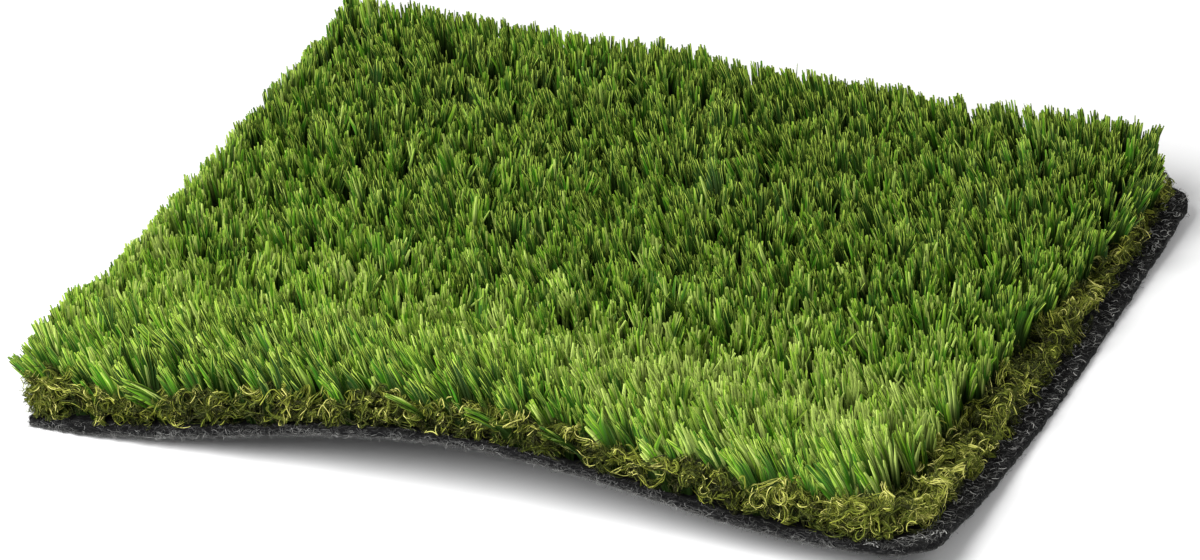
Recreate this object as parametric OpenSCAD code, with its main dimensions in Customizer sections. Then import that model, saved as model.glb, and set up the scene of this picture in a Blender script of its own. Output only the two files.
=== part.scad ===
// Cut piece of artificial turf: a thick black felt backing, a springy layer of curled thatch yarn
// and a pile of grass blades. It lies on its flat back half. Its front edge is lifted in a low wave.
// X runs along the front edge, Y from front to back, Z up. The origin is on the ground, under the
// middle of the piece.

/* [Cut size] */
// Length of the front and back edges
turf_w = 420; // [240:1:640]
// Length of the left and right edges
turf_d = 378; // [220:1:600]
// Radius of the rounded front right corner
front_corner_r = 24; // [8:1:60]
// Radius of the rounded back right corner
back_corner_r = 16; // [6:1:60]

/* [Layers] */
// Thickness of the felt backing
backing_t = 4; // [2:0.1:8]
// Height of the curled thatch above the backing
thatch_h = 14; // [6:0.5:24]
// Height of the grass blades above the thatch
blade_h = 17; // [6:0.5:40]

/* [Bare margins of the backing] */
// Width left bare along the front, left and back edges
hem_w = 3; // [1:0.5:10]
// Width left bare along the right edge, where the yarn has worn off
bare_w = 10; // [4:0.5:30]
// Width of thatch along the right edge that has lost its blades
worn_w = 13; // [4:0.5:40]
// Width of thatch that shows past the blades along the other edges
fringe_w = 4; // [1:0.5:12]

/* [Wave] */
// Height of the arch in the middle of the front edge
arch_h = 26; // [0:1:50]
// How far to the left of the middle the arch has its top
arch_shift = 13; // [0:1:60]
// Lift of the front right corner
front_lift = 17; // [0:1:40]
// Lift of the back right corner
back_lift = 8; // [0:1:30]

/* [Hidden] */

// The surfaces are facets on one grid of rows and columns that all three layers share, so that
// they meet face to face. No cell of the grid is wider than this.
cell = 17;

half_w = turf_w / 2;
half_d = turf_d / 2;

// From its top, the arch falls to the ground at the front left corner, and as far to the right.
arch_reach = half_w - arch_shift;

// Behind the middle, the piece lies flat up to here: only the corner beyond both is lifted.
flat_x = half_w * 0.4;
flat_y = half_d * 0.2;

function span(from, to) =
    let (n = ceil((to - from) / cell))
    [for (i = [1 : n - 1]) from + (to - from) * i / n];

// Distances of the rows behind the front edge. The first and last ones are the layers' outlines.
front_rows = [0, hem_w, hem_w + fringe_w];
back_rows = [turf_d - hem_w - fringe_w, turf_d - hem_w, turf_d];
rows = concat(front_rows, span(front_rows[2], half_d), [half_d], span(half_d, back_rows[0]), back_rows);

// Distances of the columns from the left edge, on a row that is as long as the piece is wide
left_columns = [0, hem_w, hem_w + fringe_w];
right_columns = [turf_w - bare_w - worn_w, turf_w - bare_w, turf_w];
columns = concat(left_columns, span(left_columns[2], right_columns[0]), right_columns);

last_row = len(rows) - 1;
last_column = len(columns) - 1;

// How far a corner of radius r draws the right edge in, at a distance from the corner's end
function corner_inset(r, distance) =
    distance >= r ? 0 : r - sqrt(r * r - (r - distance) * (r - distance));

function row_w(j) =
    turf_w - corner_inset(front_corner_r, rows[j]) - corner_inset(back_corner_r, turf_d - rows[j]);

// Height of the underside above the ground
function limit(v) = max(0, min(1, v));
function lift(x, y) =
    let (
        from_middle = limit(abs(x + arch_shift) / arch_reach),
        forward = limit(-y / half_d),
        rightward = limit((x + half_w) / turf_w),
        outward = limit((x - flat_x) / (half_w - flat_x)),
        backward = limit((y - flat_y) / (half_d - flat_y))
    )
    (arch_h * pow(cos(90 * from_middle), 2) + front_lift * pow(rightward, 2)) * pow(forward, 2)
    + back_lift * pow(outward * backward, 2);

function grid_point(i, j, rise) =
    let (
        x = columns[i] * row_w(j) / turf_w - half_w,
        y = rows[j] - half_d
    )
    [x, y, lift(x, y) + rise];

// A closed layer between two heights above the underside, over a stretch of columns and rows
module layer(low, high, first, last_i, last_j) {
    n = last_i - first + 1;
    m = last_j - first + 1;
    size = n * m;
    function at(i, j, top) = top * size + j * n + i;
    points = [
        for (rise = [low, high], j = [first : last_j], i = [first : last_i]) grid_point(i, j, rise)
    ];
    top_faces = [
        for (j = [0 : m - 2], i = [0 : n - 2])
            each [
                [at(i, j, 1), at(i, j + 1, 1), at(i + 1, j + 1, 1)],
                [at(i, j, 1), at(i + 1, j + 1, 1), at(i + 1, j, 1)]
            ]
    ];
    bottom_faces = [
        for (j = [0 : m - 2], i = [0 : n - 2])
            each [
                [at(i, j, 0), at(i + 1, j + 1, 0), at(i, j + 1, 0)],
                [at(i, j, 0), at(i + 1, j, 0), at(i + 1, j + 1, 0)]
            ]
    ];
    // The rim's points in order round the layer, as seen from above
    rim = concat(
        [for (i = [0 : n - 2]) [i, 0]],
        [for (j = [0 : m - 2]) [n - 1, j]],
        [for (i = [n - 1 : -1 : 1]) [i, m - 1]],
        [for (j = [m - 1 : -1 : 1]) [0, j]]
    );
    side_faces = [
        for (k = [0 : len(rim) - 1])
            let (a = rim[k], b = rim[(k + 1) % len(rim)])
            each [
                [at(a[0], a[1], 0), at(a[0], a[1], 1), at(b[0], b[1], 1)],
                [at(a[0], a[1], 0), at(b[0], b[1], 1), at(b[0], b[1], 0)]
            ]
    ];
    polyhedron(points, concat(top_faces, bottom_faces, side_faces));
}

// Non-woven black felt that the yarn is stitched through. The slab adds nothing to the shape: it
// makes the part that rests on the ground one plane instead of facets.
module backing() {
    color("#1c1c1e") {
        layer(0, backing_t, 0, last_column, last_row);
        translate([-half_w, 0, 0]) cube([half_w + flat_x, half_d, backing_t]);
    }
}

// Crimped olive yarn that fills the root zone and holds the blades up
module thatch() {
    color("#7d8140")
        layer(backing_t, backing_t + thatch_h, 1, last_column - 1, last_row - 1);
}

// Upright green yarn, cut flat at the top
module grass_blades() {
    color("#5b9132")
        layer(backing_t + thatch_h, backing_t + thatch_h + blade_h, 2, last_column - 2, last_row - 2);
}

backing();
thatch();
grass_blades();
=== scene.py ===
# A cut piece of artificial turf: a felt backing, a springy thatch of curled yarn and a pile of
# grass blades. Metres, X along the front edge, Y from front to back, Z up, ground at Z 0.
import math

import bmesh
import bpy
import numpy as np
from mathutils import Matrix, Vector


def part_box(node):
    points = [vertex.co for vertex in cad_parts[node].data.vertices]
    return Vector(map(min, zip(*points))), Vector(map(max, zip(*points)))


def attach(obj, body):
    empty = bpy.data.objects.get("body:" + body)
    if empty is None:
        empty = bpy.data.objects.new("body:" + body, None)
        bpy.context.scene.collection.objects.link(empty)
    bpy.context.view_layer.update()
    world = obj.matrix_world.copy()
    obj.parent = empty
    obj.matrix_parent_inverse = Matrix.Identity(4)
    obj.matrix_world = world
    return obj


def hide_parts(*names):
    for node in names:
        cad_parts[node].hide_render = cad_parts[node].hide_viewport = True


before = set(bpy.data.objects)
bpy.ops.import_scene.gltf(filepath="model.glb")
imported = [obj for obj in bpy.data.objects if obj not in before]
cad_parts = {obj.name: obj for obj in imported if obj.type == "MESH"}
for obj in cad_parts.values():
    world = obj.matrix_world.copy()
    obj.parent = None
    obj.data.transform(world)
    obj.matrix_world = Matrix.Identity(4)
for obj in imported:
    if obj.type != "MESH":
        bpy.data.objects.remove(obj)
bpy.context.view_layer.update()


# ---------------------------------------------------------------------------------------------
# Camera: a long lens on a stand in front of the piece, a little to its right, looking down on it.
# Its aim is a point just above the middle of the pile's flat part.
# ---------------------------------------------------------------------------------------------
view_azimuth = math.radians(20.8)
view_elevation = math.radians(28.3)
view_distance = 4.7
view_lens = 313.6
view_aim = Vector((-0.0099, -0.0038, 0.0184))
toward_camera = Vector((
    math.sin(view_azimuth) * math.cos(view_elevation),
    -math.cos(view_azimuth) * math.cos(view_elevation),
    math.sin(view_elevation),
))
lens = bpy.data.cameras.new("camera")
lens.sensor_width = 36.0
lens.lens = view_lens
lens.clip_end = 60.0
camera = bpy.data.objects.new("camera", lens)
camera.location = view_aim + toward_camera * view_distance
camera.rotation_euler = toward_camera.to_track_quat("Z", "Y").to_euler()
bpy.context.scene.collection.objects.link(camera)
bpy.context.scene.camera = camera


# ---------------------------------------------------------------------------------------------
# Felt backing: black non-woven felt, 4 mm thick, that carries the yarn. It was cut from the roll
# with a knife, so its rim is ragged and the cut side shows paler, brushed-out fibres. The foot of
# the cut side is painted paler still, as painted light.
# ---------------------------------------------------------------------------------------------
felt_low, felt_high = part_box("backing")
left, front = felt_low.x, felt_low.y
right, back = felt_high.x, felt_high.y
felt_thick = 0.004
front_corner = 0.024
back_corner = 0.016
left_corner = 0.002


def drift(x, y, cell, seed):
    """A smooth random field between -1 and 1 that changes over about one cell."""
    size = 97
    lattice = np.random.default_rng(seed).uniform(-1, 1, (size, size))
    u, v = x / cell + 100 * size, y / cell + 100 * size
    i, j = np.floor(u).astype(int), np.floor(v).astype(int)
    u, v = u - i, v - j
    u, v = u * u * (3 - 2 * u), v * v * (3 - 2 * v)
    i, j, next_i, next_j = i % size, j % size, (i + 1) % size, (j + 1) % size
    low = lattice[i, j] * (1 - u) + lattice[next_i, j] * u
    high = lattice[i, next_j] * (1 - u) + lattice[next_i, next_j] * u
    return low * (1 - v) + high * v


def ramp(value, start, end):
    """0 before start, 1 after end, and smooth between."""
    share = np.clip((value - start) / (end - start), 0, 1)
    return share * share * (3 - 2 * share)


# The wave of the backing's top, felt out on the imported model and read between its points
probe_inset = 0.0005
probe_x = np.linspace(left + probe_inset, right - probe_inset, 53)
probe_y = np.linspace(front + probe_inset, back - probe_inset, 47)
probe_top = np.full((len(probe_y), len(probe_x)), np.nan)
for row, y in enumerate(probe_y):
    for column, x in enumerate(probe_x):
        hit, place, _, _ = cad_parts["backing"].ray_cast(Vector((x, y, 1)), Vector((0, 0, -1)))
        if hit:
            probe_top[row, column] = place.z
    met = ~np.isnan(probe_top[row])
    probe_top[row] = np.interp(probe_x, probe_x[met], probe_top[row, met])


def felt_top(x, y):
    """Height of the backing's top above the ground."""
    u = np.clip((x - probe_x[0]) / (probe_x[1] - probe_x[0]), 0, len(probe_x) - 1.001)
    v = np.clip((y - probe_y[0]) / (probe_y[1] - probe_y[0]), 0, len(probe_y) - 1.001)
    i, j = u.astype(int), v.astype(int)
    u, v = u - i, v - j
    low = probe_top[j, i] * (1 - u) + probe_top[j, i + 1] * u
    high = probe_top[j + 1, i] * (1 - u) + probe_top[j + 1, i + 1] * u
    return low * (1 - v) + high * v


def cut_line(count):
    """Points at even steps round the felt's edge, from the front left corner to the right."""
    corner_points = 13
    corners = [
        (left, front, left_corner, 180), (right, front, front_corner, 270),
        (right, back, back_corner, 0), (left, back, left_corner, 90),
    ]
    line = []
    for x, y, radius, start in corners:
        middle = (x + math.copysign(radius, -x), y + math.copysign(radius, -y))
        for angle in np.radians(np.linspace(start, start + 90, corner_points)):
            across, up = radius * math.cos(angle), radius * math.sin(angle)
            line.append((middle[0] + across, middle[1] + up))
    line = np.array(line + line[:1])
    along = np.concatenate([[0], np.cumsum(np.linalg.norm(np.diff(line, axis=0), axis=1))])
    even = np.linspace(0, along[-1], count, endpoint=False)
    return np.column_stack([np.interp(even, along, line[:, 0]), np.interp(even, along, line[:, 1])])


def mesh_piece(name, points, faces, smooth=True):
    """A new object from arrays: points, and faces of four corners each."""
    mesh = bpy.data.meshes.new(name)
    mesh.vertices.add(len(points))
    mesh.vertices.foreach_set("co", np.ascontiguousarray(points, np.float32).ravel())
    mesh.loops.add(faces.size)
    mesh.loops.foreach_set("vertex_index", faces.astype(np.int32).ravel())
    mesh.polygons.add(len(faces))
    mesh.polygons.foreach_set("loop_start", np.arange(len(faces), dtype=np.int32) * faces.shape[1])
    mesh.polygons.foreach_set("use_smooth", np.full(len(faces), smooth))
    mesh.update(calc_edges=True)
    mesh.validate()
    piece = bpy.data.objects.new(name, mesh)
    bpy.context.scene.collection.objects.link(piece)
    return piece


class Shade:
    """A socket in a material's nodes. Sums written on it add the nodes that work them out."""

    def __init__(self, tree, socket=None):
        self.tree = tree
        self.socket = socket

    def node(self, kind, settings, sockets, output=0):
        made = self.tree.nodes.new("ShaderNode" + kind)
        for name, value in settings.items():
            if name == "stops":
                while len(made.color_ramp.elements) < len(value):
                    made.color_ramp.elements.new(1.0)
                for stop, (position, colour) in zip(made.color_ramp.elements, value):
                    stop.position = position
                    stop.color = (*colour, 1.0)
            else:
                setattr(made, name, value)
        for name, value in sockets.items():
            if isinstance(value, Shade):
                self.tree.links.new(value.socket, made.inputs[name])
            else:
                made.inputs[name].default_value = value
        return Shade(self.tree, made.outputs[output])

    def sum(self, operation, first, second):
        return self.node("Math", {"operation": operation}, {0: first, 1: second})

    def __add__(self, other):
        return self.sum("ADD", self, other)

    def __radd__(self, other):
        return self.sum("ADD", other, self)

    def __sub__(self, other):
        return self.sum("SUBTRACT", self, other)

    def __rsub__(self, other):
        return self.sum("SUBTRACT", other, self)

    def __mul__(self, other):
        return self.sum("MULTIPLY", self, other)

    def __rmul__(self, other):
        return self.sum("MULTIPLY", other, self)

    def __abs__(self):
        return self.sum("ABSOLUTE", self, 0.0)

    def between(self, start, end):
        """0 below start, 1 above end, and smooth between."""
        return self.node(
            "MapRange", {"interpolation_type": "SMOOTHSTEP"},
            {"Value": self, "From Min": start, "From Max": end},
        )

    def mix(self, first, second):
        """The first colour where this value is 0, the second where it is 1."""
        return self.node(
            "Mix", {"data_type": "RGBA"}, {"Factor": self, 6: first, 7: second}, output=2
        )


def dye(red, green, blue):
    """A colour as the eye reads it, 0 to 255, as the light it gives back."""
    return tuple(
        (c / 3294.6 if c <= 10.3 else ((c / 255 + 0.055) / 1.055) ** 2.4) for c in (red, green, blue)
    )


def finish_material(name, colour, roughness, normal, **constant):
    """Wires a material's changing sockets and sets the ones that stay the same."""
    material = bpy.data.materials[name]
    shader = material.node_tree.nodes["Principled BSDF"]
    for socket, shade in (("Base Color", colour), ("Roughness", roughness), ("Normal", normal)):
        material.node_tree.links.new(shade.socket, shader.inputs[socket])
    for socket, value in constant.items():
        shader.inputs[socket.replace("_", " ")].default_value = value
    return material


def start_material(name):
    material = bpy.data.materials.new(name)
    material.use_nodes = True
    return Shade(material.node_tree)


# The felt is made of rings: out over the top to the cut, down the cut side, and in again below
edge_count = 1040
top_insets = [0.160, 0.110, 0.070, 0.040, 0.025, 0.018, 0.0135, 0.0105, 0.008, 0.006, 0.0042, 0.0028,
              0.0016, 0.0007, 0.0002]
side_drops = [0.0004, 0.0012, 0.0021, 0.003, 0.0036]
low_insets = [0.0004, 0.0015, 0.006, 0.020, 0.060, 0.160]
ragged_reach = 0.006
fine_ragged, broad_ragged = 0.00045, 0.0006
fine_lump, broad_lump = 0.00022, 0.0003
fray_depth = 0.0003
rim_rounding = 0.0002
under_shade = 0.6

edge = cut_line(edge_count)
edge_out = np.roll(edge, -1, axis=0) - np.roll(edge, 1, axis=0)
edge_out = np.column_stack([edge_out[:, 1], -edge_out[:, 0]])
edge_out /= np.linalg.norm(edge_out, axis=1, keepdims=True)
ragged = fine_ragged * drift(edge[:, 0], edge[:, 1], 0.0031, 21)
ragged += broad_ragged * drift(edge[:, 0], edge[:, 1], 0.011, 22)
half_size = np.array([(right - left) / 2, (back - front) / 2])


def ring_inside(inset):
    """The cut line drawn in, and still ragged where it is near the cut."""
    near_cut = ramp(ragged_reach - inset, 0, ragged_reach)
    return edge * (1 - inset / half_size) + edge_out * (ragged * near_cut)[:, None]


rings, paler = [], []
for inset in top_insets:
    ring = ring_inside(inset)
    lumps = fine_lump * drift(ring[:, 0], ring[:, 1], 0.0024, 23)
    lumps += broad_lump * drift(ring[:, 0], ring[:, 1], 0.009, 24)
    height = felt_top(ring[:, 0], ring[:, 1]) + lumps
    if inset == top_insets[-1]:
        height -= rim_rounding
    rings.append(np.column_stack([ring, height]))
    paler.append(0.0)
# Down the cut side each ring is marked to be painted paler towards its foot: the cut's brushed-out
# fibres, and painted light
for step, drop in enumerate(side_drops):
    fray = fray_depth * drift(edge[:, 0] + edge[:, 1] * 0.7, edge[:, 1] + drop * 9, 0.0017, 31 + step)
    ring = edge + edge_out * (ragged + fray)[:, None]
    rings.append(np.column_stack([ring, felt_top(edge[:, 0], edge[:, 1]) - drop]))
    paler.append(drop / felt_thick)
for inset in low_insets:
    ring = ring_inside(inset)
    height = np.maximum(felt_top(ring[:, 0], ring[:, 1]) - felt_thick, 0)
    rings.append(np.column_stack([ring, height]))
    paler.append(under_shade)
step = np.arange(edge_count)
following = (step + 1) % edge_count
felt_faces = []
for ring in range(len(rings) - 1):
    inner, outer = ring * edge_count, (ring + 1) * edge_count
    felt_faces.append(np.column_stack([
        inner + following, inner + step, outer + step, outer + following]))
felt = mesh_piece("felt_backing", np.concatenate(rings), np.concatenate(felt_faces))

# One face fills the innermost ring on the top, and one the innermost ring below
closing = bmesh.new()
closing.from_mesh(felt.data)
corners = list(closing.verts)
closing.faces.new(corners[:edge_count])
closing.faces.new(corners[:-edge_count - 1:-1])
closing.to_mesh(felt.data)
closing.free()
felt_cut = felt.data.attributes.new("cut_side", "FLOAT", "POINT")
felt_cut.data.foreach_set("value", np.repeat(np.array(paler, np.float32), edge_count))

coat = start_material("black_felt")
place = coat.node("TexCoord", {}, {}, output=3)
cut_side = coat.node("Attribute", {"attribute_name": "cut_side"}, {}, output=2)
clumps = coat.node("TexNoise", {}, {"Vector": place, "Scale": 260.0, "Detail": 3.0})
specks = coat.node("TexNoise", {}, {"Vector": place, "Scale": 1500.0, "Detail": 2.0})
strands = None
for turn, seed in ((0.5, 0.0), (1.9, 3.0)):
    combed = coat.node(
        "Mapping", {}, {"Vector": place, "Rotation": (0.0, 0.0, turn), "Location": (seed, 0.0, 0.0),
                        "Scale": (260.0, 1700.0, 900.0)})
    lines = coat.node("TexNoise", {}, {"Vector": combed, "Scale": 1.0, "Detail": 2.0})
    lines = lines.between(0.56, 0.72)
    strands = lines if strands is None else strands + lines * (1 - strands)
grey = clumps.between(0.45, 0.85) * 0.06 + strands * 0.13
# Painted light: the foot of the cut side is painted paler, partly for its brushed-out fibres and
# partly as light falling on the side
grey = grey + cut_side.between(0.55, 1.0) * (specks.between(0.3, 0.7) * 0.4 + 0.1)
felt_colour = grey.mix((*dye(7, 7, 8), 1.0), (*dye(112, 112, 110), 1.0))
felt_relief = clumps * 0.4 + specks * 0.3 + strands * 0.5
felt_normal = coat.node("Bump", {}, {"Strength": 0.7, "Distance": 0.0006, "Height": felt_relief})
felt_rough = 0.95 - strands * 0.2
felt.data.materials.append(finish_material(
    "black_felt", felt_colour, felt_rough, felt_normal, Specular_IOR_Level=0.15))
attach(felt, "root")
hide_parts("backing")


# ---------------------------------------------------------------------------------------------
# Felt fuzz: single polyester fibres that the knife and handling have pulled loose from the felt.
# They lie flat on its bare margins and stand off its cut side.
# ---------------------------------------------------------------------------------------------
shade_count = 64


def unit(vectors):
    return vectors / np.maximum(np.linalg.norm(vectors, axis=-1, keepdims=True), 1e-9)


def ribbons(name, lines, sides, widths, shades, bases=0.0):
    """Flat strands in one mesh. Each has its points, the way its width points, its width there
    and one of the shades. The map has a column for each shade, and runs from root to tip. A
    strand that starts part of the way up the map, at its base, has a root with less of the
    painted shade that the grass's material paints low on the map."""
    count, steps = lines.shape[:2]
    reach = sides * widths[..., None] / 2
    points = np.stack([lines - reach, lines + reach], axis=2)
    first = (np.arange(count)[:, None] * steps + np.arange(steps - 1)) * 2
    faces = np.stack([first, first + 1, first + 3, first + 2], axis=-1).reshape(-1, 4)
    piece = mesh_piece(name, points.reshape(-1, 3), faces)
    bases = np.broadcast_to(bases, count)[:, None, None] + 0.002
    along = bases + (0.998 - bases) * np.linspace(0, 1, steps)[None, :, None] * np.ones((1, 1, 2))
    column = np.clip(shades, 0, shade_count - 1).astype(int)[:, None, None]
    across = np.broadcast_to((column + np.array([0.1, 0.9])) / shade_count, (count, steps, 2))
    spots = np.stack([across, along], axis=-1).reshape(-1, 2)[faces.ravel()]
    layer = piece.data.uv_layers.new(name="OFBake")
    layer.data.foreach_set("uv", spots.astype(np.float32).ravel())
    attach(piece, "root")
    return piece


def strand_map(coat):
    """Where a spot is on its strand: its shade from 0 to 1, across from -1 to 1, root to tip."""
    spot = coat.node("UVMap", {"uv_map": "OFBake"}, {})
    across_map = coat.node("SeparateXYZ", {}, {"Vector": spot}, output=0)
    along = coat.node("SeparateXYZ", {}, {"Vector": spot}, output=1)
    place = across_map * shade_count
    column = coat.node("Math", {"operation": "FLOOR"}, {0: place})
    return column * (1 / (shade_count - 1)), (place - column - 0.5) * 2.5, along


fuzz_count = 9600
margin_wide = 0.012
rim_wide = 0.004
margin_share = 0.75
side_share = 0.7
fuzz_shortest, fuzz_longest = 0.0015, 0.0045
fuzz_thinnest, fuzz_thickest = 0.00008, 0.0002
fleck_share = 0.12
fleck_extra = 0.00028
fuzz_clear = 0.0002

fuzz_random = np.random.default_rng(5)
fuzz_at = fuzz_random.integers(0, edge_count, fuzz_count)
fuzz_edge, fuzz_out = edge[fuzz_at], edge_out[fuzz_at]
fuzz_along = np.column_stack([-fuzz_out[:, 1], fuzz_out[:, 0]])
on_margin = (fuzz_edge[:, 0] > right - 0.03) & (fuzz_random.random(fuzz_count) < margin_share)
on_side = ~on_margin & (fuzz_random.random(fuzz_count) < side_share)
fuzz_inset = np.where(on_margin, fuzz_random.uniform(0, margin_wide, fuzz_count),
                      fuzz_random.uniform(0, rim_wide, fuzz_count))
fuzz_inset[on_side] = 0
fuzz_root = fuzz_edge - fuzz_out * fuzz_inset[:, None]
fuzz_root += fuzz_along * fuzz_random.uniform(-0.002, 0.002, (fuzz_count, 1))
fuzz_drop = np.where(on_side, fuzz_random.uniform(0.0003, felt_thick, fuzz_count), -fuzz_clear)

# Fibres on the top point any way, and those on the cut side run mostly along it
fuzz_heading = fuzz_random.uniform(0, 2 * math.pi, fuzz_count)
flat_way = np.column_stack([np.cos(fuzz_heading), np.sin(fuzz_heading), np.zeros(fuzz_count)])
side_way = np.column_stack([fuzz_along * np.cos(fuzz_heading)[:, None], 0.6 * np.sin(fuzz_heading)])
fuzz_way = unit(np.where(on_side[:, None], side_way, flat_way))
fuzz_normal = np.where(
    on_side[:, None], np.column_stack([fuzz_out, np.zeros(fuzz_count)]), np.array([0.0, 0.0, 1.0]))
fuzz_length = fuzz_random.uniform(fuzz_shortest, fuzz_longest, fuzz_count)
fuzz_rise = fuzz_random.exponential(0.00035, fuzz_count)
fuzz_bow = np.cross(fuzz_way, fuzz_normal)
fuzz_bow *= (fuzz_length * fuzz_random.normal(0, 0.25, fuzz_count))[:, None]

fuzz_ground = felt_top(fuzz_root[:, 0], fuzz_root[:, 1])
fuzz_lines = []
for share in np.linspace(0, 1, 4):
    spot = np.column_stack([fuzz_root, fuzz_ground - fuzz_drop])
    spot += fuzz_way * (fuzz_length * (share - 0.5))[:, None]
    spot += fuzz_normal * (fuzz_clear + fuzz_rise * math.sin(math.pi * share * 0.8))[:, None]
    spot += fuzz_bow * (4 * share * (1 - share) - 0.5)
    # A fibre on the top follows the wave, and one on the cut side ends just over the top's edge
    if share:
        wave = felt_top(spot[:, 0], spot[:, 1]) - fuzz_ground
        spot[:, 2] = np.where(on_side, spot[:, 2], spot[:, 2] + wave)
    ended = np.minimum(spot[:, 2], fuzz_ground + 2 * fuzz_clear)
    spot[:, 2] = np.maximum(np.where(on_side, ended, spot[:, 2]), fuzz_clear)
    fuzz_lines.append(spot)
fuzz_lines = np.stack(fuzz_lines, axis=1)
fuzz_sides = np.broadcast_to(unit(np.cross(fuzz_way, fuzz_normal))[:, None], fuzz_lines.shape)

# Most fibres are nearly black. One in eight on the right margin is a thicker, pale fleck
fuzz_wide = fuzz_random.uniform(fuzz_thinnest, fuzz_thickest, fuzz_count)
flecked = on_margin & (fuzz_random.random(fuzz_count) < fleck_share)
fuzz_wide[flecked] += fleck_extra
fuzz_widths = np.outer(fuzz_wide, [1, 1, 0.9, 0.6])
fuzz_shade = fuzz_random.beta(1.0, np.where(on_margin, 3.2, 7.0))
# Painted light: fibres low on the cut side are made paler, like the painted foot of the cut side
fuzz_shade += on_side * 0.12 * ramp(fuzz_drop, 0.002, 0.004)
fuzz_shade[flecked] += fuzz_random.uniform(0.2, 0.7, flecked.sum())
felt_fuzz = ribbons("felt_fuzz", fuzz_lines, fuzz_sides, fuzz_widths, fuzz_shade * shade_count)
coat = start_material("felt_fibre")
shade, across, along = strand_map(coat)
fibre_colour = shade.mix((*dye(9, 9, 10), 1.0), (*dye(190, 190, 186), 1.0))
fibre_rough = 0.75 + shade * 0.15
fibre_normal = coat.node("Bump", {}, {"Strength": 0.3, "Distance": 0.0001, "Height": 1 - abs(across)})
felt_fuzz.data.materials.append(finish_material(
    "felt_fibre", fibre_colour, fibre_rough, fibre_normal, Specular_IOR_Level=0.3))
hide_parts("backing")


# ---------------------------------------------------------------------------------------------
# Thatch: olive and straw coloured yarn, crimped so that it curls up in the root zone and holds
# the blades upright. It is stitched through the felt with them, and shows along the cut edges.
# ---------------------------------------------------------------------------------------------
thatch_low, thatch_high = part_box("thatch")
thatch_bundle = 7
thatch_wide = 0.00037
curl_steps = 13
curl_step_length = 0.0014
curl_turns = (0.12, 0.7)
curl_loose = 0.0008
curl_wobble = 0.33
curl_return = 1.2
curl_look_ahead = 0.002


def depth_inside(x, y, low, high):
    """Distance in from the edge of a layer with the felt's rounded right corners."""
    to_right, to_front, to_back = high.x - x, y - low.y, high.y - y
    depth = np.minimum(np.minimum(x - low.x, to_right), np.minimum(to_front, to_back))
    for radius, to_end in ((front_corner, to_front), (back_corner, to_back)):
        in_corner = (to_right < radius) & (to_end < radius)
        rounded = radius - np.hypot(radius - to_right, radius - to_end)
        depth = np.where(in_corner, rounded, depth)
    return depth


def curls(random, x, y, rise, heading, overhang, tall, turns, step_length, bundle, loose, wide):
    """Crimped yarn ends that start at the given places, wander in curls and stay in the layer. An
    end is a bundle of filaments that run side by side and come apart towards its tip."""
    count = len(x)
    spot = np.column_stack([x, y, felt_top(x, y) + rise])
    heading = unit(random.normal(0, 1, (count, 3)) + heading)
    axis = unit(random.normal(0, 1, (count, 3)))
    turn = random.uniform(*turns, count)[:, None]
    lines = [spot]
    for _ in range(curl_steps - 1):
        axis = unit(axis + random.normal(0, curl_wobble, (count, 3)))
        heading = unit(heading * np.cos(turn) + np.cross(axis, heading) * np.sin(turn))
        above = spot[:, 2] - felt_top(spot[:, 0], spot[:, 1])
        too_low, too_high = ramp(0.0022 - above, 0, 0.002), ramp(above - tall, -0.001, 0.002)
        heading[:, 2] += curl_return * too_low - curl_return * too_high
        depth = depth_inside(spot[:, 0], spot[:, 1], thatch_low, thatch_high)
        next_spot = spot + heading * curl_look_ahead
        ahead = depth_inside(next_spot[:, 0], next_spot[:, 1], thatch_low, thatch_high)
        leaving = (depth < -overhang) & (ahead < depth)
        heading[leaving, :2] *= -1
        heading = unit(heading)
        spot = spot + heading * step_length
        lines.append(spot)
    lines = np.repeat(np.stack(lines, axis=1), bundle, axis=0)
    apart = random.normal(0, 1, (count * bundle, 1, 3)) * loose
    sway = random.normal(0, 1, (count * bundle, 1, 3)) * loose * 0.6
    share = np.linspace(0, 1, curl_steps)[None, :, None]
    beat = random.uniform(4, 9, (count * bundle, 1, 1))
    lines = lines + apart * (0.35 + share) + sway * np.sin(beat * share)
    ground = felt_top(lines[..., 0], lines[..., 1])
    lines[..., 2] = np.maximum(lines[..., 2], ground + 0.0004)
    way = unit(np.gradient(lines, axis=1))
    sides = unit(np.cross(way, random.normal(0, 1, (count * bundle, 1, 3))))
    for step in range(1, curl_steps):
        flip = np.sum(sides[:, step] * sides[:, step - 1], axis=1) < 0
        sides[flip, step] *= -1
    widths = random.uniform(0.7, 1.3, count * bundle)[:, None] * wide
    widths = widths * np.linspace(1.05, 0.8, curl_steps)
    return lines, sides, widths


coat = start_material("curled_yarn")
shade, across, along = strand_map(coat)
olive = shade.node("ValToRGB", {"stops": [
    (0.0, dye(9, 14, 3)), (0.3, dye(44, 54, 14)), (0.6, dye(104, 116, 34)),
    (0.82, dye(164, 170, 66)), (1.0, dye(220, 218, 124)),
]}, {"Fac": shade})
streak = coat.node("TexNoise", {"noise_dimensions": "2D"}, {
    "Vector": coat.node("CombineXYZ", {}, {"X": across * 1.5 + shade * 90, "Y": along * 7}),
    "Scale": 1.0, "Detail": 2.0})
olive = (streak.between(0.55, 0.85) * 0.45).mix(olive, (*dye(224, 224, 130), 1.0))
olive = (abs(across).between(0.4, 1.0) * 0.4).mix(olive, (*dye(40, 44, 12), 1.0))
yarn_rough = 0.5 + streak * 0.25
yarn_normal = coat.node("Bump", {}, {"Strength": 0.5, "Distance": 0.0002, "Height": 1 - abs(across)})
thatch_material = finish_material(
    "curled_yarn", olive, yarn_rough, yarn_normal, Specular_IOR_Level=0.12)

thatch_random = np.random.default_rng(8)


def fade(distance, reach):
    """1 at no distance, falling off over about the reach."""
    return np.exp(-distance / reach)


def hump(value, middle, half_wide):
    """1 at the middle, falling off on both sides over about half the width."""
    return np.exp(-((value - middle) / half_wide) ** 2)


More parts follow.
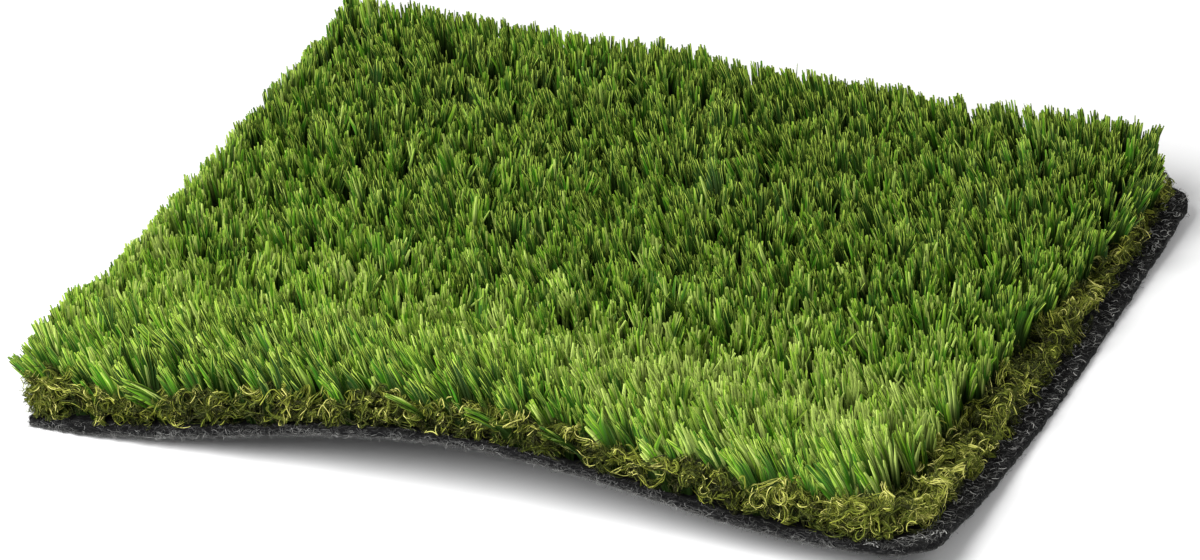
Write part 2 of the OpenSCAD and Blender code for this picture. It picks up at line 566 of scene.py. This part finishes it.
def thatch_band(name, low_x, high_x, low_y, high_y, ends, tall, bright, heading, overhang,
                wide=thatch_wide):
    """A stretch of thatch in a rectangle, with most of its yarn near the layer's edge. It is so
    tall and bright, and its curls hang over the layer's edge by no more than the overhang."""
    x = thatch_random.uniform(low_x, high_x, ends * 2)
    y = thatch_random.uniform(low_y, high_y, ends * 2)
    depth = depth_inside(x, y, thatch_low, thatch_high)
    from_left_end = fade(np.maximum(x - thatch_low.x, 0), 0.016)
    dense = 0.3 + fade(np.maximum(depth, 0), 0.006)
    kept = (depth > -0.0005 - 0.0025 * from_left_end) & (thatch_random.random(ends * 2) < dense)
    x, y, depth, from_left_end = (values[kept][:ends] for values in (x, y, depth, from_left_end))
    high = tall * (1.05 + 0.42 * drift(x, y, 0.016, 43) + 0.35 * from_left_end)
    rise = 0.0012 + 0.0045 * np.maximum(drift(x, y, 0.01, 44) + 0.25, 0)
    rise = rise + thatch_random.random(len(x)) * (high - rise)
    lines, sides, widths = curls(
        thatch_random, x, y, rise, np.array(heading), overhang + 0.0022 * from_left_end, high,
        curl_turns, curl_step_length, thatch_bundle, curl_loose, wide)

    # Yarn is painted darker low down and behind the rim, as painted shade deep in the thatch. It is
    # pale at the front right corner, and patchy
    level = rise / high
    tone = bright + 0.3 * (level - 0.5)
    tone -= 0.4 * ramp(depth, 0.001, 0.004) * (1 - ramp(level, 0.7, 1))
    tone += 0.16 * drift(x, y, 0.012, 41) + 0.14 * drift(x + rise, y - rise, 0.005, 42)
    tone += 0.1 * ramp(x - y, 0.24, 0.38) + thatch_random.normal(0, 0.1, len(x))
    tone += 0.14 * hump(y, -0.11, 0.045) * ramp(x, 0.15, 0.19)
    tone -= 0.12 * hump(x, 0.11, 0.045) * ramp(-y, 0.15, 0.17)
    pale_ends = thatch_random.exponential(0.22, len(x) * thatch_bundle) - 0.22
    tone = np.repeat(tone, thatch_bundle) + pale_ends
    piece = ribbons(name, lines, sides, widths, np.clip(tone, 0, 0.999) * shade_count)
    piece.data.materials.append(thatch_material)
    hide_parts("thatch")


front_deep = 0.014
right_deep = 0.026
rim_deep = 0.009
past_layer = 0.003
thatch_band("thatch_corner", thatch_low.x - past_layer, thatch_low.x + 0.005,
            thatch_low.y - past_layer, thatch_low.y + front_deep,
            60, 0.0115, 0.64, (-0.2, -0.2, 0.5), 0.0014)
thatch_band("thatch_front", thatch_low.x - past_layer, thatch_high.x,
            thatch_low.y - 0.002, thatch_low.y + front_deep,
            950, 0.0148, 0.53, (0.0, -0.4, 0.2), 0.0012)
thatch_band("thatch_right", thatch_high.x - right_deep, thatch_high.x,
            thatch_low.y + front_deep, thatch_high.y,
            1050, 0.0138, 0.5, (0.7, -0.3, 0.1), 0.0028)
thatch_band("thatch_back", thatch_low.x, thatch_high.x - right_deep,
            thatch_high.y - rim_deep, thatch_high.y,
            300, 0.0135, 0.4, (0.0, 0.4, 0.2), 0.001)
thatch_band("thatch_left", thatch_low.x, thatch_low.x + rim_deep,
            thatch_low.y + front_deep, thatch_high.y - rim_deep,
            280, 0.0135, 0.4, (-0.4, 0.0, 0.2), 0.001)
# Under the pile the thatch gets a dark tone, as painted shade beneath the blades
thatch_band("thatch_middle", thatch_low.x + rim_deep, thatch_high.x - right_deep,
            thatch_low.y + front_deep, thatch_high.y - rim_deep,
            160, 0.011, 0.2, (0.0, 0.0, 0.0), 0.001, wide=0.0009)

# Straws: a few long, nearly straight filaments that have worked loose along the front and right
front_straws, right_straws = 55, 35
straw_x = np.concatenate([
    thatch_random.uniform(thatch_low.x, thatch_high.x, front_straws),
    thatch_high.x - thatch_random.uniform(0.001, 0.016, right_straws)])
straw_y = np.concatenate([
    thatch_low.y + thatch_random.uniform(0, 0.004, front_straws),
    thatch_random.uniform(thatch_low.y, thatch_high.y, right_straws)])
straw_kept = depth_inside(straw_x, straw_y, thatch_low, thatch_high) > 0
straw_x, straw_y = straw_x[straw_kept], straw_y[straw_kept]
straw_lines, straw_sides, straw_widths = curls(
    thatch_random, straw_x, straw_y, thatch_random.uniform(0.004, 0.014, len(straw_x)),
    np.array((0.0, -0.2, 0.1)), 0.001, 0.017, (0.04, 0.22), 0.0015, 2, 0.0003, 0.00042)
straws = ribbons("thatch_straws", straw_lines, straw_sides, straw_widths,
                 thatch_random.uniform(0.65, 0.96, len(straw_lines)) * shade_count)
straws.data.materials.append(thatch_material)
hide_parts("thatch")


# ---------------------------------------------------------------------------------------------
# Grass blades: thin green plastic tape, slit into blades and stitched in tufts through the felt.
# The pile was cut level, then pressed in the roll, so its front rows lean over to the left.
# ---------------------------------------------------------------------------------------------
pile_low, pile_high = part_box("grass_blades")
pile_height = 0.031
tuft_gap_x = 0.0066
tuft_gap_y = 0.0072
tuft_stray = 0.65
tuft_half_long = 0.0021
blades_in_tuft = 18
blade_steps = 5
rim_gap = 0.0042
zigzag_in = 0.0007
zigzag_wide = 0.0016
sheaf_gap = 0.0125
sheaf_pull = 0.0018
blade_thinnest, blade_widest = 0.0011, 0.0023

coat = start_material("grass_tape")
shade, across, along = strand_map(coat)
green = shade.node("ValToRGB", {"stops": [
    (0.0, dye(13, 44, 3)), (0.25, dye(32, 86, 6)), (0.5, dye(68, 137, 10)),
    (0.75, dye(134, 183, 36)), (1.0, dye(206, 229, 118)),
]}, {"Fac": shade})
rib = coat.node("TexNoise", {"noise_dimensions": "2D"}, {
    "Vector": coat.node("CombineXYZ", {}, {"X": across * 2.6 + shade * 150, "Y": along * 1.6}),
    "Scale": 1.0, "Detail": 2.0})
# One half of a folded blade is in its own shade, painted darker as painted shade. Its cut edges and
# some tips carry painted highlights, and its root is painted darker as painted shade
folded = across.between(-0.25, 0.2)
green = (folded * 0.72).mix(green, (*dye(20, 62, 5), 1.0))
green = (rib.between(0.55, 0.78) * 0.5).mix(green, (*dye(180, 216, 92), 1.0))
# Painted highlight: a thin pale line along the cut edges
green = (abs(across).between(0.75, 1.0) * 0.15).mix(green, (*dye(200, 216, 110), 1.0))
# Painted highlight: pale flecks on some tips
tip_highlight = along.between(0.74, 0.98) * rib.between(0.5, 0.66) * 0.7
green = tip_highlight.mix(green, (*dye(190, 214, 84), 1.0))
# Painted shade: the blade is painted darker towards its root, low in the pile
green = (1 - along).between(0.08, 0.68).mix(green, (*dye(28, 50, 6), 1.0))
tape_rough = 0.42 + rib * 0.2 + (1 - along) * 0.15
tape_relief = abs(across) * 0.6 + rib * 0.4
tape_normal = coat.node("Bump", {}, {"Strength": 0.6, "Distance": 0.0005, "Height": tape_relief})
blade_material = finish_material(
    "grass_tape", green, tape_rough, tape_normal, Specular_IOR_Level=0.18)

pile_random = np.random.default_rng(3)
stitch_x, stitch_y = np.meshgrid(
    np.arange(pile_low.x + 0.002, pile_high.x + 0.01, tuft_gap_x),
    np.arange(pile_low.y + 0.001, pile_high.y, tuft_gap_y))
stitch_x, stitch_y = stitch_x.ravel(), stitch_y.ravel()
stitch_x = stitch_x + pile_random.uniform(-0.5, 0.5, len(stitch_x)) * tuft_gap_x * tuft_stray
stitch_y = stitch_y + pile_random.uniform(-0.5, 0.5, len(stitch_y)) * tuft_gap_y * tuft_stray


def right_reach(y):
    """How much further right the pile reaches towards the back, where fewer blades are lost."""
    return 0.01 * ramp(y, 0.0, 0.16)


ragged_row = 0.0045 * drift(stitch_x, stitch_y, 0.014, 51) * (stitch_y < pile_high.y - 0.012)
depth = depth_inside(stitch_x - right_reach(stitch_y), stitch_y, pile_low, pile_high)
stitched = depth > np.maximum(ragged_row, 0)

# One more, zigzag row of stitches follows the left and back edges, which are sewn closer
rim_x = np.arange(pile_low.x + 0.001, pile_high.x + 0.001, rim_gap)
rim_y = np.arange(pile_low.y + 0.002, pile_high.y, rim_gap)
rim_in = np.arange(max(len(rim_x), len(rim_y))) % 2 * zigzag_wide + zigzag_in
stitch_x = np.concatenate([stitch_x[stitched], rim_x, pile_low.x + rim_in[:len(rim_y)]])
stitch_y = np.concatenate([stitch_y[stitched], pile_high.y - rim_in[:len(rim_x)], rim_y])
stitch_x += pile_random.normal(0, 0.0004, len(stitch_x))

# Along the front, neighbouring tufts are drawn together into sheaves that spread at the top
sheaf = 2 * math.pi * (stitch_x / sheaf_gap + 0.6 * drift(stitch_x, stitch_y, 0.02, 58))
gathered = hump(stitch_y, pile_low.y, 0.03)
stitch_x += sheaf_pull * gathered * np.sin(sheaf)

from_front = stitch_y - pile_low.y
from_back = pile_high.y - stitch_y
from_left = stitch_x - pile_low.x
from_right = pile_high.x + right_reach(stitch_y) - stitch_x
at_rim = fade(np.minimum(from_left, from_back), 0.008)

# A tuft's lean is a slope. All lean a little to the left, and the front rows far more, while the
# ones at the rim stand steadier
lean_reach = 0.046 + 0.03 * ramp(-stitch_x, -0.02, 0.2) + 0.012 * drift(stitch_x, stitch_y, 0.05, 56)
front_lean = np.exp(-(from_front / lean_reach) ** 1.7)
steady = (1 - 0.72 * at_rim) * (1 - 0.15 * front_lean)
stray_x = 0.14 * drift(stitch_x, stitch_y, 0.022, 52) + pile_random.normal(0, 0.09, len(stitch_x))
lean_x = -0.11 - 0.34 * front_lean
lean_x += stray_x * steady
stray_y = 0.13 * drift(stitch_x, stitch_y, 0.019, 53) + pile_random.normal(0, 0.09, len(stitch_x))
lean_y = 0.03 + 0.18 * front_lean - 0.2 * fade(from_front, 0.011)
lean_y += stray_y * steady
lean_x += 0.5 * fade(from_right, 0.02) * ramp(stitch_y, -0.05, 0.14)
lean_x -= 0.13 * gathered * np.sin(sheaf)

# Tufts by the left edge can't lean out past the felt, but those in the front corner splay
in_left_corner = fade(from_front + from_left, 0.014)
lean_x -= 0.5 * in_left_corner
lean_y -= 0.25 * in_left_corner
lean_x = np.maximum(lean_x, -(0.0025 + 0.02 * fade(from_front, 0.014) + from_left) / pile_height)

# Here and there a tuft of the first row has fallen over the thatch
fallen = (from_front < 0.006) & (from_left > 0.03) & (pile_random.random(len(stitch_x)) < 0.1)
lean_x[fallen] -= 0.5
lean_y[fallen] -= 0.7
facing = pile_random.normal(0, 0.6, len(stitch_x)) * (1 - 0.5 * at_rim)

# Tufts are patchy in tone. On top of that, light and shade are painted on: paler by the left edge,
# along the back rim and on the raised front, mostly on the right, as painted light; darker in the
# front rows and towards the back, as painted shade; and a little paler towards the right
tuft_tone_and_light = 0.6 + 0.12 * drift(stitch_x, stitch_y, 0.034, 54)
tuft_tone_and_light += 0.15 * drift(stitch_x, stitch_y, 0.011, 55)
tuft_tone_and_light += 0.25 * fade(from_left, 0.016) - 0.56 * ramp(stitch_y, -0.1, 0.14)
tuft_tone_and_light += hump(from_front, 0.065, 0.045) * (0.5 * ramp(stitch_x, -0.12, 0.12) - 0.03)
tuft_tone_and_light -= 0.24 * fade(from_front, 0.025)
tuft_tone_and_light += 0.18 * fade(from_back, 0.005)
tuft_tone_and_light += 0.06 * ramp(stitch_x, 0.0, 0.16)
tuft_tone_and_light += pile_random.normal(0, 0.17, len(stitch_x)) - 0.14 * front_lean

# The pile was cut level. It stands a little higher behind the front rows and along the back
uneven = 0.1 * drift(stitch_x, stitch_y, 0.011, 57) + 0.1 * pile_random.normal(0, 1, len(stitch_x))
tuft_height = 0.96 + uneven * (1 - 0.6 * at_rim) * (1 - 0.4 * front_lean) + 0.04 * at_rim
shoulder = 0.24 * hump(from_front, 0.034, 0.022) - 0.06 * fade(from_front, 0.006)
shoulder += 0.15 * fade(from_back, 0.008)
tuft_height = pile_height * (np.minimum(tuft_height, 1.08) + shoulder)

# Blades fan out from their tuft, and those at the open edges get less of the painted shade at their
# roots
fan = 0.04 + 0.07 * front_lean
less_root_shade = 0.05 * fade(np.minimum(np.minimum(from_front, from_left), from_right), 0.007)


def repeat(values):
    return np.repeat(values, blades_in_tuft)


blade_count = len(stitch_x) * blades_in_tuft
order = np.tile(np.linspace(-1, 1, blades_in_tuft), len(stitch_x))
order = order + pile_random.normal(0, 0.12, blade_count)
turned = repeat(facing) + pile_random.normal(0, 0.45, blade_count)
across_tuft = np.column_stack([np.cos(repeat(facing)), np.sin(repeat(facing))])
through_tuft = np.column_stack([-across_tuft[:, 1], across_tuft[:, 0]])
root = np.column_stack([repeat(stitch_x), repeat(stitch_y)])
root = root + across_tuft * (order * tuft_half_long)[:, None]
root = root + through_tuft * pile_random.normal(0, 0.0005, (blade_count, 1))
lean = np.column_stack([repeat(lean_x), repeat(lean_y)])
lean = lean + pile_random.normal(0, 0.02, (blade_count, 2))
lean = lean + across_tuft * (order * repeat(fan))[:, None]

# The outer blades of a tuft are shorter, and about one tip in five is crumpled
length = repeat(tuft_height) * (
    1.06 - repeat(0.26 - 0.15 * at_rim) * np.abs(order) ** 1.6
    + pile_random.normal(0, 0.025, blade_count) * repeat(1 - 0.5 * at_rim))
tip_curl = pile_random.normal(0, 0.1, (blade_count, 2)) * repeat(1 - 0.7 * at_rim)[:, None]
tip_curl[pile_random.random(blade_count) < 0.22] *= 4
blade_lines = []
spot = np.column_stack([root, felt_top(root[:, 0], root[:, 1])])
for step in range(blade_steps):
    blade_lines.append(spot)
    share = (step + 0.5) / (blade_steps - 1)
    bent = lean * (0.35 + 1.3 * share) + tip_curl * share ** 3
    way = unit(np.column_stack([bent, np.ones(blade_count)]))
    spot = spot + way * (length / (blade_steps - 1))[:, None]
blade_lines = np.stack(blade_lines, axis=1)
blade_way = unit(np.gradient(blade_lines, axis=1))
twist = pile_random.normal(0, 0.25, blade_count)[:, None] * np.linspace(0, 1, blade_steps)
angle = turned[:, None] + twist
blade_sides = np.stack([np.cos(angle), np.sin(angle), np.zeros_like(angle)], axis=-1)
blade_sides = unit(blade_sides - blade_way * np.sum(blade_sides * blade_way, axis=-1, keepdims=True))

# A blade narrows to its cut tip. One in five is painted much paler than its tuft, as a painted
# highlight
blade_wide = pile_random.uniform(blade_thinnest, blade_widest, blade_count)
blade_wide = blade_wide * (1 + 0.2 * repeat(front_lean))
blade_widths = blade_wide[:, None] * np.array([0.8, 1, 1, 0.95, 0.42])
blade_tone_and_light = repeat(tuft_tone_and_light) - 0.1 + pile_random.normal(0, 0.22, blade_count)
# Painted highlight: one blade in five is made much paler
blade_tone_and_light += 0.52 * (pile_random.random(blade_count) < 0.2)
blade_tone_and_light = np.clip(blade_tone_and_light, 0, 0.999) * shade_count

# Blades away from the front show only their tops, and have one point less along the root
pile_cuts = np.quantile(root[:, 1], [0.3, 0.65])
for name, part, used in (
    ("blades_front", root[:, 1] < pile_cuts[0], [0, 1, 2, 3, 4]),
    ("blades_middle", (root[:, 1] >= pile_cuts[0]) & (root[:, 1] < pile_cuts[1]), [0, 2, 3, 4]),
    ("blades_back", root[:, 1] >= pile_cuts[1], [0, 2, 3, 4]),
):
    blades = ribbons(
        name, blade_lines[part][:, used], blade_sides[part][:, used], blade_widths[part][:, used],
        blade_tone_and_light[part], repeat(less_root_shade)[part])
    blades.data.materials.append(blade_material)
    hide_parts("grass_blades")


# ---------------------------------------------------------------------------------------------
# Studio: a plain pale floor, a big soft light over the camera's left shoulder, a weaker one from
# the right and pale walls all round. None of it is part of the object.
# ---------------------------------------------------------------------------------------------
floor_half = 15.0
floor_under = 0.0004
floor_corners = ((-1, -1), (1, -1), (1, 1), (-1, 1))
floor_points = np.array([(x * floor_half, y * floor_half, -floor_under) for x, y in floor_corners])
floor = mesh_piece("floor", floor_points, np.array([[0, 1, 2, 3]]), smooth=False)
floor_material = bpy.data.materials.new("pale_floor")
floor_material.use_nodes = True
floor_paint = floor_material.node_tree.nodes["Principled BSDF"]
floor_paint.inputs["Base Color"].default_value = (0.86, 0.86, 0.86, 1)
floor_paint.inputs["Roughness"].default_value = 0.9
floor.data.materials.append(floor_material)


def soft_light(name, azimuth, elevation, distance, size, power):
    lamp = bpy.data.lights.new(name, "AREA")
    lamp.shape = "DISK"
    lamp.size = size
    lamp.energy = power
    holder = bpy.data.objects.new(name, lamp)
    a, e = math.radians(azimuth), math.radians(elevation)
    way = Vector((math.sin(a) * math.cos(e), -math.cos(a) * math.cos(e), math.sin(e)))
    holder.location = way * distance
    holder.rotation_euler = way.to_track_quat("Z", "Y").to_euler()
    bpy.context.scene.collection.objects.link(holder)


soft_light("key_light", -22, 44, 2.4, 1.7, 92)
soft_light("front_light", 25, 14, 2.8, 1.8, 12)
soft_light("right_light", 100, 40, 2.6, 1.4, 12)
walls = bpy.data.worlds.new("pale_walls")
walls.use_nodes = True
walls.node_tree.nodes["Background"].inputs["Color"].default_value = (1.0, 1.0, 1.0, 1.0)
walls.node_tree.nodes["Background"].inputs["Strength"].default_value = 0.36
bpy.context.scene.world = walls
bpy.context.scene.view_settings.view_transform = "Standard"
